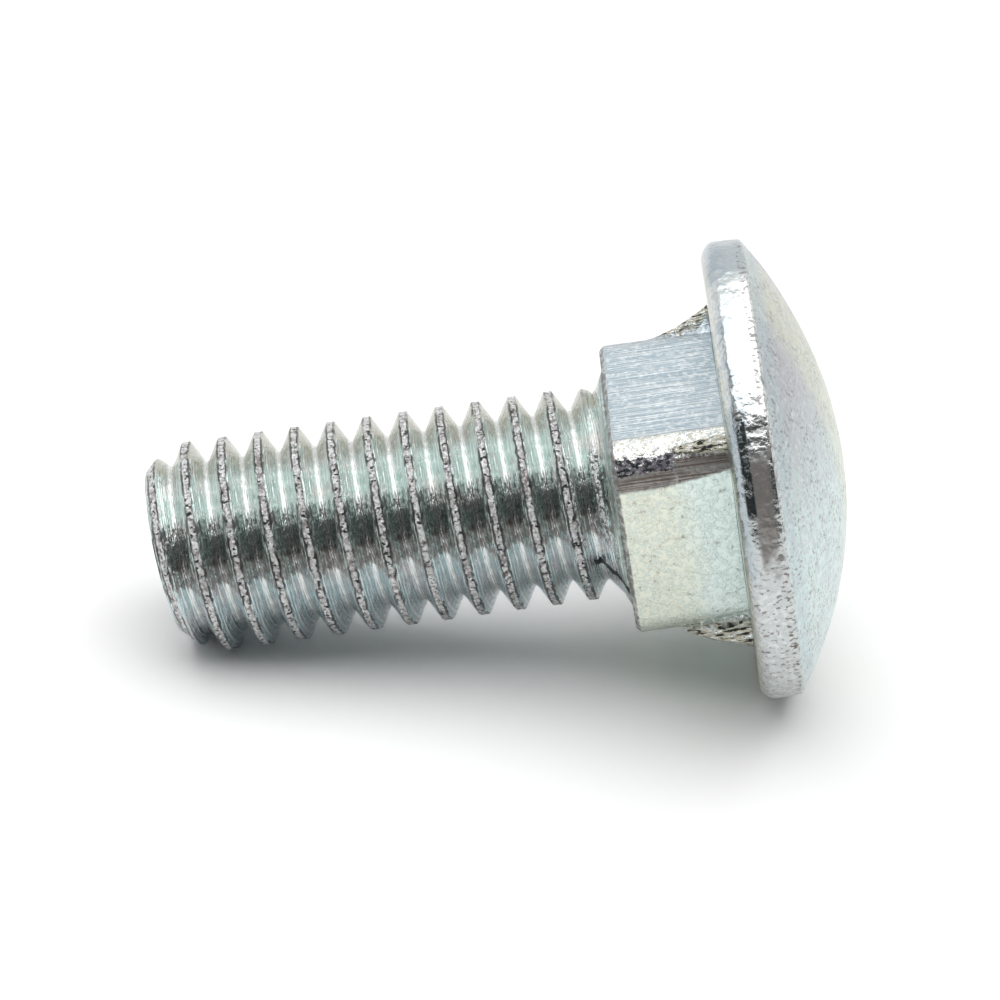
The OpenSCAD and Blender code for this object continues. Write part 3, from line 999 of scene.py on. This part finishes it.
def seen_in_picture(n):
    """1 for the rays that show a surface: straight to the camera, in metal or through glass."""
    seen = n.add("ShaderNodeLightPath").outputs
    return n.most(seen["Is Camera Ray"],
                  n.most(seen["Is Glossy Ray"], seen["Is Transmission Ray"]))


def world_light(settings):
    """A dim even fill for the light, which the camera and the metal see as plain white."""
    world = bpy.data.worlds.new("studio")
    n = cleared(world)
    strength = n.between(seen_in_picture(n), 0.0, 1.0, settings.fill, 1.0)
    n.end("ShaderNodeOutputWorld", n.add("ShaderNodeBackground", grey(1.0), strength))
    return world


def floor_material(settings):
    """White board: plain for the light, and lifted to the photo's white where it is seen."""
    material = bpy.data.materials.new("white_board")
    n = cleared(material)
    tone = n.mix(seen_in_picture(n), grey(BOARD_TONE), grey(settings.board))
    n.end("ShaderNodeOutputMaterial", n.add("ShaderNodeBsdfDiffuse", tone))
    return material


def room_material(settings):
    """The dark room behind the camera, which fades into the pale tent over the bolt."""
    material = bpy.data.materials.new("dark_room")
    n = cleared(material)
    place = n.add("ShaderNodeSeparateXYZ", n.add("ShaderNodeTexCoord").outputs["Object"])
    rise = n.math("ARCTAN2", place.outputs["Z"], n.times(place.outputs["Y"], -1.0))
    strength = n.between(rise, settings.room_edge, settings.room_rise, settings.room,
                         settings.tent, soft=True)
    n.end("ShaderNodeOutputMaterial", n.add("ShaderNodeEmission", grey(1.0), strength))
    return material


def dark_room(settings):
    """A curved screen from behind the camera to over the bolt: the metal reflects it, and the
    camera never sees it."""
    radius, half_length, steps = 1.0, 3.0, 48
    rows = [settings.light_reach * i / steps for i in range(steps + 1)]
    points = [(x, -radius * math.cos(a), radius * math.sin(a))
              for a in rows for x in (-half_length, half_length)]
    faces = [(2 * i, 2 * i + 1, 2 * i + 3, 2 * i + 2) for i in range(steps)]
    mesh = bpy.data.meshes.new("dark_room")
    mesh.from_pydata(points, [], faces)
    mesh.materials.append(room_material(settings))
    screen = in_scene("dark_room", mesh)
    screen.visible_camera = False
    return screen


def overhead_light(settings):
    """One wide soft lamp over the bolt."""
    height = 0.6
    front = height / math.tan(settings.room_rise)
    back = height / math.tan(math.pi - settings.light_reach)
    lamp = bpy.data.lights.new("overhead", "AREA")
    lamp.shape, lamp.size, lamp.size_y = "RECTANGLE", settings.light_length, front + back
    lamp.energy = settings.overhead * math.pi * settings.light_length * (front + back)
    in_scene("overhead", lamp).location = (0.0, (back - front) / 2, height)


def pale_floor(settings):
    half = settings.floor_size / 2
    mesh = bpy.data.meshes.new("floor")
    mesh.from_pydata([(-half, -half, 0), (half, -half, 0), (half, half, 0), (-half, half, 0)],
                     [], [(0, 1, 2, 3)])
    mesh.materials.append(floor_material(settings))
    return in_scene("floor", mesh)


def photo_camera(settings):
    """The camera where the photo was taken from, turned about the way that it looks."""
    data = bpy.data.cameras.new("camera")
    data.lens, data.sensor_width = settings.lens, 36.0
    data.clip_start, data.clip_end = 0.01, 20.0
    camera = in_scene("camera", data)
    forward = Vector(settings.camera_aim).normalized()
    level = forward.cross(Vector((0, 0, 1))).normalized()
    upright = level.cross(forward)
    c, s = math.cos(settings.camera_roll), math.sin(settings.camera_roll)
    right, up = level * c + upright * s, upright * c - level * s
    turn = Matrix((right, up, -forward)).transposed().to_4x4()
    camera.matrix_world = Matrix.Translation(settings.camera_place) @ turn
    return camera


class BOLT_OT_stage(bpy.types.Operator):
    """Make the pale floor, the soft light and the camera"""

    bl_idname = "bolt.stage"
    bl_label = "Stage"

    def execute(self, context):
        scene, settings = context.scene, context.scene.studio_settings
        floor, screen = pale_floor(settings), dark_room(settings)
        overhead_light(settings)
        scene.world = world_light(settings)
        scene.view_settings.view_transform = "Standard"
        scene.camera = photo_camera(settings)
        return {"FINISHED"}


class BOLT_PT_panel(bpy.types.Panel):
    """The carriage bolt's sizes, colours and makers"""

    bl_label = "Carriage bolt"
    bl_idname = "BOLT_PT_panel"
    bl_space_type = "VIEW_3D"
    bl_region_type = "UI"
    bl_category = "Carriage bolt"

    def draw(self, context):
        scene = context.scene
        for group in (scene.bolt_sizes, scene.plate_colours, scene.studio_settings):
            box = self.layout.box()
            for name in group.__annotations__:
                box.prop(group, name)
        for operator in OPERATORS:
            self.layout.operator(operator.bl_idname)


GROUPS = {"bolt_sizes": BoltSizes, "plate_colours": PlateColours,
          "studio_settings": StudioSettings}
OPERATORS = (BOLT_OT_make, BOLT_OT_stage)
CLASSES = (*GROUPS.values(), *OPERATORS, BOLT_PT_panel)


def register():
    for kind in CLASSES:
        bpy.utils.register_class(kind)
    for name, kind in GROUPS.items():
        setattr(bpy.types.Scene, name, PointerProperty(type=kind))


def unregister():
    for name in GROUPS:
        delattr(bpy.types.Scene, name)
    for kind in reversed(CLASSES):
        bpy.utils.unregister_class(kind)


def main():
    register()
    bpy.ops.bolt.make()
    bpy.ops.bolt.stage()


if __name__ == "__main__":
    main()
